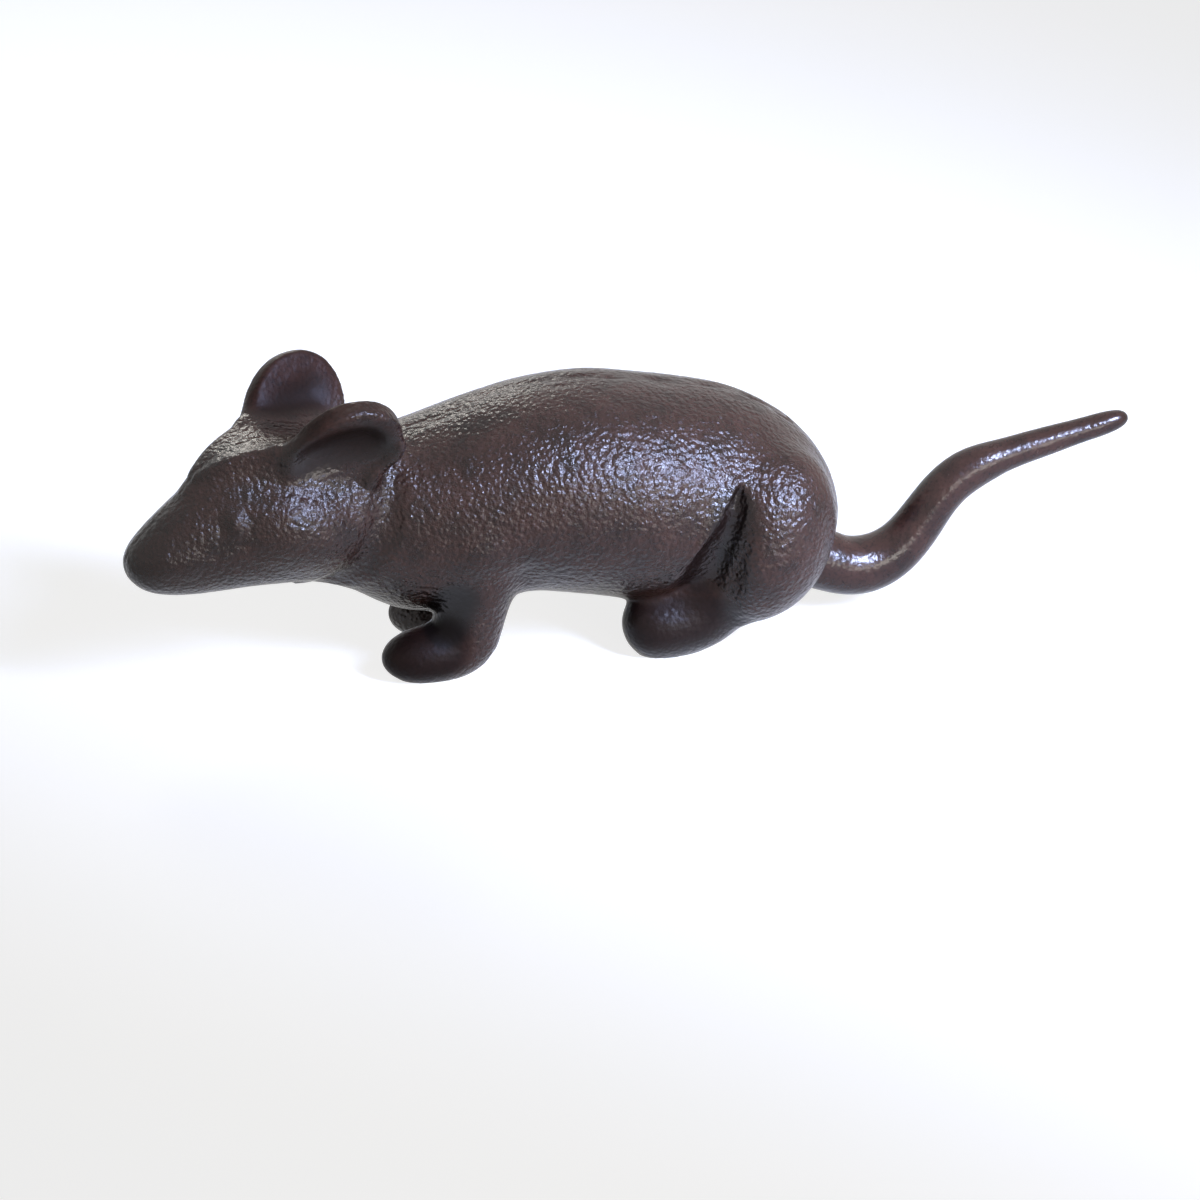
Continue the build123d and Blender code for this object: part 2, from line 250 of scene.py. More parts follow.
# The two half castings meet at a ragged seam, ground down along the back
SEAM_WIDTH = 0.5 * MM
SEAM_DEPTH = 0.14 * MM
SEAM_STEP = 0.16 * MM
BAND_WIDTH = 3.4 * MM
BAND_DEPTH = 0.55 * MM
BAND_LENGTH = 4.6 * MM
BAND_MARK_SHARE = 0.45
BAND_EDGE_SHARES = (0.75, 1.25)
BAND_FADE = 1.6
BAND_SEED = 7
BAND_EDGE_SEED = 11

# The ground band lies above this height and behind this place, in mm
BAND_FROM_HEIGHT = 38.0
BAND_FROM_NOSE = 48.0


def linear(code):
    """Scene-linear red, green and blue of an sRGB hex code."""
    shares = [int(code[i:i + 2], 16) / 255 for i in (1, 3, 5)]
    return tuple(c / 12.92 if c <= 0.04045 else ((c + 0.055) / 1.055) ** 2.4 for c in shares)


class FigurineSizes(bpy.types.PropertyGroup):
    """Sizes of the skin and its sand-cast grain."""

    skin_spacing: bpy.props.FloatProperty(
        name="Skin spacing", description="Distance between the points of a half casting's skin",
        default=0.38 * MM, min=0.2 * MM, max=2 * MM, subtype="DISTANCE", unit="LENGTH", precision=5)
    tail_spacing: bpy.props.FloatProperty(
        name="Tail spacing", description="Distance between the points of the tail's skin",
        default=0.3 * MM, min=0.2 * MM, max=2 * MM, subtype="DISTANCE", unit="LENGTH", precision=5)
    fillet_reach: bpy.props.FloatProperty(
        name="Fillet reach", description="How far the poured fillets reach out of a crease",
        default=5.6 * MM, min=0.5 * MM, max=10 * MM, subtype="DISTANCE", unit="LENGTH", precision=5)
    edge_round: bpy.props.FloatProperty(
        name="Edge round", description="Reach of the rounding of every edge, as sand moulds leave it",
        default=1.0 * MM, min=0.2 * MM, max=4 * MM, subtype="DISTANCE", unit="LENGTH", precision=5)
    soft_reach: bpy.props.FloatProperty(
        name="Soft reach", description="Reach of the rounding of the edges that run out softly",
        default=4.0 * MM, min=0.5 * MM, max=10 * MM, subtype="DISTANCE", unit="LENGTH", precision=5)
    # Painted shade: hollows found over this width are darkened with the near-black colour
    hollow_shade_reach: bpy.props.FloatProperty(
        name="Hollow reach", description="Width of the hollows that keep a darker lacquer",
        default=5.0 * MM, min=0.5 * MM, max=10 * MM, subtype="DISTANCE", unit="LENGTH", precision=5)
    pebble_size: bpy.props.FloatProperty(
        name="Pebble size", description="Width of the pebbles that the moulding sand leaves on the skin",
        default=1.15 * MM, min=0.3 * MM, max=5 * MM, subtype="DISTANCE", unit="LENGTH", precision=5)
    pebble_depth: bpy.props.FloatProperty(
        name="Pebble depth", description="Height of the pebbles above the skin between them",
        default=0.06 * MM, min=0.0, max=1 * MM, subtype="DISTANCE", unit="LENGTH", precision=5)
    lump_size: bpy.props.FloatProperty(
        name="Lump size", description="Width of the slow unevenness of the casting",
        default=7.0 * MM, min=2 * MM, max=30 * MM, subtype="DISTANCE", unit="LENGTH", precision=5)
    lump_depth: bpy.props.FloatProperty(
        name="Lump depth", description="Height of the slow unevenness of the casting",
        default=0.3 * MM, min=0.0, max=2 * MM, subtype="DISTANCE", unit="LENGTH", precision=5)
    thread_pitch: bpy.props.FloatProperty(
        name="Thread pitch", description="Pitch of the joining screw's thread",
        default=0.8 * MM, min=0.3 * MM, max=2 * MM, subtype="DISTANCE", unit="LENGTH", precision=5)


class FigurineColours(bpy.types.PropertyGroup):
    """Colours of the lacquer, the steel and the floor."""

    lacquer: bpy.props.FloatVectorProperty(
        name="Lacquer", description="Brown of the lacquer where it lies thick",
        default=linear("#2d1b15"), min=0, max=1, subtype="COLOR")
    lacquer_warm: bpy.props.FloatVectorProperty(
        name="Thin lacquer", description="Warmer brown where the lacquer is thin on the iron",
        default=linear("#3c261e"), min=0, max=1, subtype="COLOR")
    # Painted shade: near-black speckles mixed into the lacquer where the fine grit noise is high, standing
    # for shade in the pits
    pit_shade: bpy.props.FloatVectorProperty(
        name="Recesses", description="Near black of the pits between the pebbles",
        default=linear("#1a100d"), min=0, max=1, subtype="COLOR")
    # Painted shade in hollows and on the shaded legs, feet, ear cups and snout; the same near black also
    # marks random runs of thick lacquer
    dark_runs_and_shade: bpy.props.FloatVectorProperty(
        name="Pooled lacquer", description="Near black where the lacquer pooled in hollows",
        default=linear("#0d0807"), min=0, max=1, subtype="COLOR")
    steel: bpy.props.FloatVectorProperty(
        name="Steel", description="Grey of the screw",
        default=linear("#9a9894"), min=0, max=1, subtype="COLOR")
    floor: bpy.props.FloatVectorProperty(
        name="Floor", description="Pale floor under the figurine",
        default=linear("#a9a8a6"), min=0, max=1, subtype="COLOR")
    floor_bounce: bpy.props.FloatVectorProperty(
        name="Floor bounce", description="What the floor sends back to the figurine",
        default=linear("#24201e"), min=0, max=1, subtype="COLOR")


class FigurineStage(bpy.types.PropertyGroup):
    """Where the camera stands."""

    azimuth: bpy.props.FloatProperty(
        name="Azimuth", description="Camera's turn round the figurine, from its left side",
        default=radians(-15.0), subtype="ANGLE")
    elevation: bpy.props.FloatProperty(
        name="Elevation", description="Camera's height above the horizon",
        default=radians(23.0), subtype="ANGLE")
    distance: bpy.props.FloatProperty(
        name="Distance", description="From the camera to the figurine",
        default=1.5, min=0.2, subtype="DISTANCE", unit="LENGTH")
    frame_width: bpy.props.FloatProperty(
        name="Frame width", description="Width of the picture at the figurine",
        default=0.216, min=0.01, subtype="DISTANCE", unit="LENGTH")
    aim_right: bpy.props.FloatProperty(
        name="Aim right", description="How far the picture's middle lies right of the origin",
        default=-4.79 * MM, subtype="DISTANCE", unit="LENGTH", precision=5)
    aim_up: bpy.props.FloatProperty(
        name="Aim up", description="How far the picture's middle lies above the origin",
        default=5.76 * MM, subtype="DISTANCE", unit="LENGTH", precision=5)


def node(tree, kind, props=None, values=None, links=None):
    """Adds a node to a tree, with its properties, its socket values and its incoming links."""
    made = tree.nodes.new(kind)
    for name, value in (props or {}).items():
        setattr(made, name, value)
    for name, value in (values or {}).items():
        made.inputs[name].default_value = value
    for name, socket in (links or {}).items():
        tree.links.new(socket, made.inputs[name])
    return made


def new_material(name):
    """An empty node material and its tree."""
    material = bpy.data.materials.new(name)
    material.use_nodes = True
    material.node_tree.nodes.clear()
    return material, material.node_tree


def background_rays(tree):
    """1 for the rays that show the white background: those of the camera, and through gloss and glass."""
    rays = node(tree, "ShaderNodeLightPath").outputs
    shiny = node(tree, "ShaderNodeMath", {"operation": "MAXIMUM"}, None,
                 {0: rays["Is Glossy Ray"], 1: rays["Is Transmission Ray"]})
    return node(tree, "ShaderNodeMath", {"operation": "MAXIMUM"}, None,
                {0: rays["Is Camera Ray"], 1: shiny.outputs[0]}).outputs[0]


def lacquered_cast_iron(colours):
    """Sand-cast iron under brown lacquer: a dark semi-gloss skin whose pebbles break every highlight up."""
    material, tree = new_material("lacquered_cast_iron")
    place = node(tree, "ShaderNodeTexCoord").outputs["Object"]
    grain = node(tree, "ShaderNodeAttribute", {"attribute_name": "grain"}).outputs["Fac"]
    pebbles = node(tree, "ShaderNodeTexVoronoi", {"feature": "SMOOTH_F1"},
                   {"Scale": 1 / PEBBLE_WIDTH, "Smoothness": 0.6}, {"Vector": place}).outputs["Distance"]
    grit = node(tree, "ShaderNodeTexNoise", None, {"Scale": 1 / GRIT_WIDTH, "Detail": 2.0, "Roughness": 0.55},
                {"Vector": place}).outputs["Fac"]
    patches = node(tree, "ShaderNodeTexNoise", None,
                   {"Scale": 1 / PATCH_WIDTH, "Detail": 4.0, "Roughness": 0.7},
                   {"Vector": place}).outputs["Fac"]
    thin = node(tree, "ShaderNodeMapRange", None, {"From Min": 0.3, "From Max": 0.7}, {"Value": patches})
    brown = node(tree, "ShaderNodeMix", {"data_type": "RGBA"},
                 {6: (*colours.lacquer, 1), 7: (*colours.lacquer_warm, 1)}, {0: thin.outputs["Result"]})
    # Painted pit shade: speckles of the near-black colour where the fine grit noise is high
    pit_shade_share = node(tree, "ShaderNodeMapRange", None,
                {"From Min": 0.5, "From Max": 0.68, "To Min": 0.0, "To Max": 0.6}, {"Value": grit})
    tone = node(tree, "ShaderNodeMix", {"data_type": "RGBA"}, {7: (*colours.pit_shade, 1)},
                {0: pit_shade_share.outputs["Result"], 6: brown.outputs[2]})
    # Painted shade: the hollow attribute puts the near-black colour into hollows and shaded places; noise
    # runs of thick lacquer take the same colour at random
    hollow_shade = node(tree, "ShaderNodeAttribute", {"attribute_name": "hollow_shade"}).outputs["Fac"]
    runs = node(tree, "ShaderNodeTexNoise", None, {"Scale": 1 / RUN_WIDTH, "Detail": 3.0, "Roughness": 0.6},
                {"Vector": place}).outputs["Fac"]
    thick_runs_and_shade = node(tree, "ShaderNodeMapRange", None,
                 {"From Min": 0.48, "From Max": 0.66, "To Min": 0.0, "To Max": 0.55}, {"Value": runs})
    runs_and_shade_share = node(tree, "ShaderNodeMath", {"operation": "MAXIMUM"}, None,
                {0: hollow_shade, 1: thick_runs_and_shade.outputs["Result"]})
    dark_runs_and_shade = node(tree, "ShaderNodeMix", {"data_type": "RGBA"}, {7: (*colours.dark_runs_and_shade, 1)},
                  {0: runs_and_shade_share.outputs[0], 6: tone.outputs[2]})
    shine = node(tree, "ShaderNodeMapRange", None,
                 {"From Min": 0.3, "From Max": 0.7, "To Min": 0.18, "To Max": 0.3}, {"Value": patches})
    dull = node(tree, "ShaderNodeAttribute", {"attribute_name": "dull"}).outputs["Fac"]
    gloss = node(tree, "ShaderNodeMath", {"operation": "MULTIPLY_ADD"}, {1: 0.2},
                 {0: dull, 2: shine.outputs["Result"]})
    sheen = node(tree, "ShaderNodeMath", {"operation": "MULTIPLY_ADD"}, {1: -0.25, 2: 0.35}, {0: dull})
    rough = node(tree, "ShaderNodeMath", {"operation": "MULTIPLY_ADD"}, {1: -0.8, 2: 1.0}, {0: pebbles})
    height = node(tree, "ShaderNodeMath", {"operation": "MULTIPLY_ADD"}, {1: 0.7},
                  {0: grit, 2: rough.outputs[0]})
    bump = node(tree, "ShaderNodeBump", None, {"Distance": BUMP_HEIGHT},
                {"Strength": grain, "Height": height.outputs[0]})
    shader = node(tree, "ShaderNodeBsdfPrincipled", None,
                  {"Metallic": 0.0, "IOR": 1.5},
                  {"Base Color": dark_runs_and_shade.outputs[2], "Roughness": gloss.outputs[0],
                   "Specular IOR Level": sheen.outputs[0],
                   "Normal": bump.outputs["Normal"]})
    node(tree, "ShaderNodeOutputMaterial", None, None, {"Surface": shader.outputs["BSDF"]})
    return material


def turned_steel(colours):
    """Plain turned steel: a bright metal with fine rings left by the lathe, a little dulled by handling."""
    material, tree = new_material("turned_steel")
    place = node(tree, "ShaderNodeTexCoord").outputs["Object"]
    axis = node(tree, "ShaderNodeMapping", {"vector_type": "POINT"},
                {"Location": (-SCREW_X, 0, -SCREW_HEIGHT), "Rotation": (pi / 2, 0, 0)}, {"Vector": place})
    rings = node(tree, "ShaderNodeTexWave", {"wave_type": "RINGS", "rings_direction": "Z"},
                 {"Scale": 1 / RING_WIDTH / WAVE_RATE, "Distortion": 0.4, "Detail": 2.0},
                 {"Vector": axis.outputs["Vector"]})
    dull = node(tree, "ShaderNodeTexNoise", None, {"Scale": 1 / SCUFF_WIDTH, "Detail": 4.0},
                {"Vector": place})
    gloss = node(tree, "ShaderNodeMapRange", None, {"To Min": 0.26, "To Max": 0.46},
                 {"Value": dull.outputs["Fac"]})
    bump = node(tree, "ShaderNodeBump", None, {"Strength": 0.4, "Distance": RING_HEIGHT},
                {"Height": rings.outputs["Fac"]})
    shader = node(tree, "ShaderNodeBsdfPrincipled", None,
                  {"Base Color": (*colours.steel, 1), "Metallic": 1.0},
                  {"Roughness": gloss.outputs["Result"], "Normal": bump.outputs["Normal"]})
    node(tree, "ShaderNodeOutputMaterial", None, None, {"Surface": shader.outputs["BSDF"]})
    return material


def pale_floor(colours):
    """Matt pale board: the camera and gloss see it lifted towards white, and it keeps the shadow."""
    material, tree = new_material("pale_floor")
    shown = background_rays(tree)
    tone = node(tree, "ShaderNodeMix", {"data_type": "RGBA"},
                {6: (*colours.floor_bounce, 1), 7: (*colours.floor, 1)}, {0: shown})
    board = node(tree, "ShaderNodeBsdfDiffuse", None, None, {"Color": tone.outputs[2]})
    lift = node(tree, "ShaderNodeEmission", None, {"Color": (1, 1, 1, 1)})
    level = node(tree, "ShaderNodeMath", {"operation": "MULTIPLY"}, {1: FLOOR_LIFT}, {0: shown})
    tree.links.new(level.outputs[0], lift.inputs["Strength"])
    both = node(tree, "ShaderNodeAddShader", None, None,
                {0: board.outputs["BSDF"], 1: lift.outputs["Emission"]})
    node(tree, "ShaderNodeOutputMaterial", None, None, {"Surface": both.outputs["Shader"]})
    return material


def straighten(points):
    """Places as (behind the nose, right of the spine, height): the bent spine becomes a straight line."""
    x, y, z = points.T
    turn = np.arctan2(NECK_START_X - x, y + NECK_RADIUS)
    head = np.stack((x, y), 1) - HEAD_START
    run = np.where(turn <= 0, NECK_START_X - x, turn * NECK_RADIUS)
    side = np.where(turn <= 0, y, np.hypot(x - NECK_START_X, y + NECK_RADIUS) - NECK_RADIUS)
    run = np.where(turn >= HEAD_TURN, NECK_RUN + head @ FORWARD, run)
    side = np.where(turn >= HEAD_TURN, head @ RIGHTWARD, side)
    return np.stack((NOSE_RUN - run, side, z), 1)


def bend(places):
    """The way back from straighten: places along the straight spine become points of the figurine."""
    behind, side, z = places.T
    run = NOSE_RUN - behind
    turn = np.clip(run / NECK_RADIUS, 0, HEAD_TURN)
    past = run - turn * NECK_RADIUS
    radius = NECK_RADIUS + side
    x = NECK_START_X - radius * np.sin(turn) - past * np.cos(turn)
    y = radius * np.cos(turn) - NECK_RADIUS - past * np.sin(turn)
    return np.stack((x, y, z), 1)


class Skin:
    """A closed mesh as arrays of points, edges and corners, to be smoothed and modelled."""

    def __init__(self, mesh):
        self.mesh = mesh
        count = len(mesh.vertices)
        self.points = np.empty(count * 3)
        mesh.vertices.foreach_get("co", self.points)
        self.points = self.points.reshape(-1, 3)
        self.ends = np.empty(len(mesh.edges) * 2, int)
        mesh.edges.foreach_get("vertices", self.ends)
        self.ends = self.ends.reshape(-1, 2)
        self.quads = np.empty(len(mesh.loops), int)
        mesh.loops.foreach_get("vertex_index", self.quads)
        self.quads = self.quads.reshape(-1, 4)
        self.degree = np.bincount(self.ends.ravel(), minlength=count)

    def normals(self):
        """Unit normals at the points."""
        corners = self.points[self.quads]
        faces = np.cross(corners[:, 2] - corners[:, 0], corners[:, 3] - corners[:, 1])
        owners = self.quads.ravel()
        spread = np.repeat(faces, 4, axis=0)
        total = np.stack([np.bincount(owners, spread[:, k], len(self.points)) for k in range(3)], 1)
        return total / (np.linalg.norm(total, axis=1, keepdims=True) + 1e-30)

    def pull(self):
        """From each point to the middle of its neighbours."""
        first, last = self.ends.T
        count = len(self.points)
        total = np.stack([np.bincount(first, self.points[last, k], count)
                          + np.bincount(last, self.points[first, k], count) for k in range(3)], 1)
        return total / self.degree[:, None] - self.points

    def fill_creases(self, passes, weight):
        """Grows fillets in the creases: points move outwards only, towards their neighbours."""
        for _ in range(passes):
            normals = self.normals()
            rise = np.einsum("ij,ij->i", self.pull(), normals)
            self.points += normals * (FILL_STEP * weight * np.clip(rise, 0, None))[:, None]

    def soften(self, passes, weight, swell):
        """Rounds the edges; a swell after each pass gives most of the volume back."""
        for _ in range(passes):
            self.points += SOFTEN_STEP * weight[:, None] * self.pull()
            if swell:
                self.points -= swell * weight[:, None] * self.pull()

    def hollows(self, passes):
        """How deep each point lies in a hollow, from 0 to 1 at the hollow depth under the smoothed skin."""
        points, normals = self.points.copy(), self.normals()
        for _ in range(passes):
            self.points += HOLLOW_STEP * self.pull()
        depth = np.einsum("ij,ij->i", self.points - points, normals)
        self.points = points
        return np.clip(depth / HOLLOW_DEPTH, 0, 1)

    def push(self, heights):
        """Moves the points along their normals."""
        self.points += self.normals() * heights[:, None]

    def write(self):
        """Puts the points back into the mesh."""
        self.mesh.vertices.foreach_set("co", self.points.ravel())
        self.mesh.update()


def uneven(across, along, seed):
    """Smooth noise between 0 and 1 on a plane, one swing for each unit."""
    size = NOISE_KNOTS
    knots = np.random.default_rng(seed).random((size, size))
    column, row = np.floor(across).astype(int), np.floor(along).astype(int)
    u, v = across - column, along - row
    u, v = u * u * (3 - 2 * u), v * v * (3 - 2 * v)
    here, there = column % size, (column + 1) % size
    below, above = row % size, (row + 1) % size
    lower = knots[here, below] * (1 - u) + knots[there, below] * u
    upper = knots[here, above] * (1 - u) + knots[there, above] * u
    return lower * (1 - v) + upper * v


def mirrored_places(points):
    """Places in mm along the straight spine, with both sides laid on one."""
    places = straighten(points) / MM
    return np.stack((places[:, 0], np.abs(places[:, 1]), places[:, 2]), 1)


def near_path(places, path):
    """Least distance of each place to a path of straight runs."""
    path = np.array(path, float)
    least = np.full(len(places), np.inf)
    for start, end in zip(path[:-1], path[1:]):
        run = end - start
        share = np.clip((places - start) @ run / (run @ run), 0, 1)
        least = np.minimum(least, np.linalg.norm(places - start - share[:, None] * run, axis=1))
    return least


def along_axis(points, start, direction):
    """Distance of each point from an axis, and its run along the axis."""
    direction = np.array(direction.normalized())
    offset = points - np.array(start)
    run = offset @ direction
    return np.linalg.norm(offset - run[:, None] * direction, axis=1), run


def evaluated(piece, name):
    """A plain mesh of what an object's modifiers make, without the modifiers."""
    graph = bpy.context.evaluated_depsgraph_get()
    mesh = bpy.data.meshes.new_from_object(piece.evaluated_get(graph))
    mesh.name = name
    piece.modifiers.clear()
    return mesh


def add_web(joined, balls):
    """Adds the hull of some balls, and its mirror image across the spine, to a mesh of closed shells."""
    for side in (-1, 1):
        web = bmesh.new()
        for behind, off, height, radius in balls:
            middle = Vector(bend(np.array([(behind, side * off, height)]) * MM)[0])
            bmesh.ops.create_icosphere(web, subdivisions=2, radius=radius * MM,
                                       matrix=Matrix.Translation(middle))
        bmesh.ops.delete(web, geom=web.edges[:], context="EDGES_FACES")
        hull = bmesh.ops.convex_hull(web, input=web.verts[:])
        spare = {v for v in hull["geom_interior"] + hull["geom_unused"] if isinstance(v, bmesh.types.BMVert)}
        bmesh.ops.delete(web, geom=list(spare), context="VERTS")
        mesh = bpy.data.meshes.new("web")
        web.to_mesh(mesh)
        web.free()
        joined.from_mesh(mesh)
        bpy.data.meshes.remove(mesh)


def remeshed(name, nodes, plugs, webs, spacing):
    """One closed skin of even quads round copies of some solids, their webs and plugs for inner holes."""
    joined = bmesh.new()
    for source in nodes:
        joined.from_mesh(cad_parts[source].data)
    bmesh.ops.remove_doubles(joined, verts=joined.verts, dist=WELD)
    for start, end, radius in plugs:
        turn = (end - start).to_track_quat("Z", "Y").to_matrix().to_4x4()
        bmesh.ops.create_cone(joined, cap_ends=True, segments=PLUG_SEGMENTS, radius1=radius, radius2=radius,
                              depth=(end - start).length, matrix=Matrix.Translation((start + end) / 2) @ turn)
    for balls in webs:
        add_web(joined, balls)
    mesh = bpy.data.meshes.new(name)
    joined.to_mesh(mesh)
    joined.free()
    piece = bpy.data.objects.new(name, mesh)
    bpy.context.scene.collection.objects.link(piece)
    remesh = piece.modifiers.new("even quads", "REMESH")
    remesh.mode = "VOXEL"
    remesh.voxel_size = spacing
    remesh.adaptivity = 0
    piece.data = evaluated(piece, name)
    bpy.data.meshes.remove(mesh)
    return piece


def sand_cast_grain():
    """Geometry nodes that raise the moulding sand's pebbles and the slow lumps of a casting on a skin."""
    tree = bpy.data.node_groups.new("sand_cast_grain", "GeometryNodeTree")
    tree.interface.new_socket("Geometry", in_out="INPUT", socket_type="NodeSocketGeometry")
    for label in ("Pebble size", "Pebble depth", "Lump size", "Lump depth"):
        tree.interface.new_socket(label, in_out="INPUT", socket_type="NodeSocketFloat")
    tree.interface.new_socket("Seed", in_out="INPUT", socket_type="NodeSocketInt")
    tree.interface.new_socket("Finish", in_out="INPUT", socket_type="NodeSocketMaterial")
    tree.interface.new_socket("Geometry", in_out="OUTPUT", socket_type="NodeSocketGeometry")
    given = node(tree, "NodeGroupInput").outputs
    place = node(tree, "GeometryNodeInputPosition").outputs[0]
    normal = node(tree, "GeometryNodeInputNormal").outputs[0]
    grain = node(tree, "GeometryNodeInputNamedAttribute", {"data_type": "FLOAT"}, {"Name": "grain"})
    pebble_scale = node(tree, "ShaderNodeMath", {"operation": "DIVIDE"}, {0: 1.0}, {1: given["Pebble size"]})
    lump_scale = node(tree, "ShaderNodeMath", {"operation": "DIVIDE"}, {0: 1.0}, {1: given["Lump size"]})
    pebbles = node(tree, "ShaderNodeTexNoise", {"noise_dimensions": "4D"}, {"Detail": 1.0, "Roughness": 0.5},
                   {"Vector": place, "W": given["Seed"], "Scale": pebble_scale.outputs[0]})
    lumps = node(tree, "ShaderNodeTexNoise", {"noise_dimensions": "4D"}, {"Detail": 2.0, "Roughness": 0.5},
                 {"Vector": place, "W": given["Seed"], "Scale": lump_scale.outputs[0]})
    even_pebbles = node(tree, "ShaderNodeMath", {"operation": "SUBTRACT"}, {1: 0.5}, {0: pebbles.outputs[0]})
    even_lumps = node(tree, "ShaderNodeMath", {"operation": "SUBTRACT"}, {1: 0.5}, {0: lumps.outputs[0]})
    pebble_rise = node(tree, "ShaderNodeMath", {"operation": "MULTIPLY"}, None,
                       {0: even_pebbles.outputs[0], 1: given["Pebble depth"]})
    rise = node(tree, "ShaderNodeMath", {"operation": "MULTIPLY_ADD"}, None,
                {0: even_lumps.outputs[0], 1: given["Lump depth"], 2: pebble_rise.outputs[0]})
    scaled = node(tree, "ShaderNodeMath", {"operation": "MULTIPLY"}, None,
                  {0: rise.outputs[0], 1: grain.outputs["Attribute"]})
    offset = node(tree, "ShaderNodeVectorMath", {"operation": "SCALE"}, None,
                  {"Vector": normal, "Scale": scaled.outputs[0]})
    moved = node(tree, "GeometryNodeSetPosition", None, None,
                 {"Geometry": given["Geometry"], "Offset": offset.outputs["Vector"]})
    real = node(tree, "GeometryNodeRealizeInstances", None, None, {"Geometry": moved.outputs[0]})
    dressed = node(tree, "GeometryNodeSetMaterial", None, None,
                   {"Geometry": real.outputs[0], "Material": given["Finish"]})
    node(tree, "NodeGroupOutput", None, None, {"Geometry": dressed.outputs[0]})
    return tree


def grow_grain(piece, sizes, finish, seed):
    """Runs the grain's nodes on a skin and keeps their result as its mesh."""
    tree = bpy.data.node_groups.get("sand_cast_grain") or sand_cast_grain()
    modifier = piece.modifiers.new("sand-cast grain", "NODES")
    modifier.node_group = tree
    given = {"Pebble size": sizes.pebble_size, "Pebble depth": sizes.pebble_depth,
             "Lump size": sizes.lump_size, "Lump depth": sizes.lump_depth, "Seed": seed, "Finish": finish}
    for item in tree.interface.items_tree:
        if item.in_out == "INPUT" and item.name in given:
            modifier[item.identifier] = given[item.name]
    old = piece.data
    piece.data = evaluated(piece, piece.name)
    bpy.data.meshes.remove(old)


def set_layer(mesh, name, values):
    """Stores a number for each point of a mesh, for the grain's nodes or the finish."""
    layer = mesh.attributes.new(name, "FLOAT", "POINT")
    layer.data.foreach_set("value", values.astype(np.float32))


def eased(share):
    """A smooth step from 0 to 1."""
    share = np.clip(share, 0, 1)
    return share * share * (3 - 2 * share)


def nearness(places, path, radius):
    """1 within half a radius of a path, eased to 0 at the radius."""
    return eased(2 - 2 * near_path(places, path) / radius)


def thigh_cut(places):
    """Height of the sharp-edged cut in front of each thigh at places along the straight spine."""
    run = CUT_END - CUT_TOP
    offset = places[:, (0, 2)] - CUT_TOP
    share = offset @ run / (run @ run)
    inside = (offset[:, 0] * -run[1] + offset[:, 1] * run[0]) / np.linalg.norm(run)
    fade = eased(share * CUT_FADE_IN) * eased((CUT_LAST_SHARE - share) * CUT_FADE_OUT)
    fade *= places[:, 1] > CUT_FROM_SPINE
    open_width = CUT_OPENING * np.clip(share, 0, 1)
    floor = eased(inside / CUT_WALL) * (1 - eased((inside - open_width) / CUT_RUN))
    return -CUT_DEPTH * MM * fade * floor


def finish_piece(piece, stands_for, finish):
    """Sets a piece's finish and shading, ties it to the body, and hides the solid that it stands for."""
    piece.data.materials.clear()
    piece.data.materials.append(finish)
    piece.data.polygons.foreach_set("use_smooth", np.ones(len(piece.data.polygons), bool))
    piece.data.set_sharp_from_angle(angle=CASTING_SHARP)
    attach(piece, "root")
    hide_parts(stands_for)


def model_figure(skin):
    """Pushes the modelled strokes and the seam of the parting face into the whole figure's skin."""
    places = mirrored_places(skin.points)
    heights = np.zeros(len(places))
    for radius, depth, path in STROKES.values():
        share = near_path(places, path) / radius
        heights += depth * MM * np.clip(1 - share ** 2, 0, None) ** 2
    skin.push(heights + thigh_cut(places))
    side = straighten(skin.points)[:, 1]
    groove = -SEAM_DEPTH * np.clip(1 - np.abs(side) / SEAM_WIDTH, 0, None)
    along = places[:, 0] * MM / BAND_LENGTH
    ragged = uneven(along, side / (BAND_MARK_SHARE * BAND_WIDTH), BAND_SEED)
    least, most = BAND_EDGE_SHARES
    edge = BAND_WIDTH * (least + (most - least) * uneven(along, np.zeros(len(side)), BAND_EDGE_SEED))
    on_back = (places[:, 2] > BAND_FROM_HEIGHT) & (places[:, 0] > BAND_FROM_NOSE)
    band = np.clip(BAND_FADE * (1 - np.abs(side) / edge), 0, 1) * on_back
    skin.push(groove - SEAM_STEP * (side > 0) * band - BAND_DEPTH * band * ragged ** 2)


def half_of(piece, name, keep_right):
    """One closed half of the figure's skin, cut on the bent parting face and capped there."""
    mesh = piece.data.copy()
    points = np.empty(len(mesh.vertices) * 3)
    mesh.vertices.foreach_get("co", points)
    mesh.vertices.foreach_set("co", straighten(points.reshape(-1, 3)).ravel())
    half = bmesh.new()
    half.from_mesh(mesh)
    bmesh.ops.bisect_plane(half, geom=half.verts[:] + half.edges[:] + half.faces[:], dist=CUT_TOLERANCE,
                           plane_co=(0, 0, 0), plane_no=(0, 1, 0),
                           clear_inner=keep_right, clear_outer=not keep_right)
    rim = [edge for edge in half.edges if edge.is_boundary]
    caps = bmesh.ops.holes_fill(half, edges=rim, sides=0)["faces"]
    for turn in np.linspace(0, HEAD_TURN, NECK_CUTS):
        cut = caps + list({e for f in caps for e in f.edges}) + list({v for f in caps for v in f.verts})
        bmesh.ops.bisect_plane(half, geom=cut, dist=CUT_TOLERANCE, plane_no=(1, 0, 0),
                               plane_co=(NOSE_RUN - turn * NECK_RADIUS, 0, 0))
        caps = [face for face in half.faces if all(abs(v.co.y) < WELD for v in face.verts)]
    bmesh.ops.triangulate(half, faces=caps)
    half.to_mesh(mesh)
    half.free()
    points = np.empty(len(mesh.vertices) * 3)
    mesh.vertices.foreach_get("co", points)
    mesh.vertices.foreach_set("co", bend(points.reshape(-1, 3)).ravel())
    mesh.update()
    mesh.name = name
    made = bpy.data.objects.new(name, mesh)
    bpy.context.scene.collection.objects.link(made)
    return made


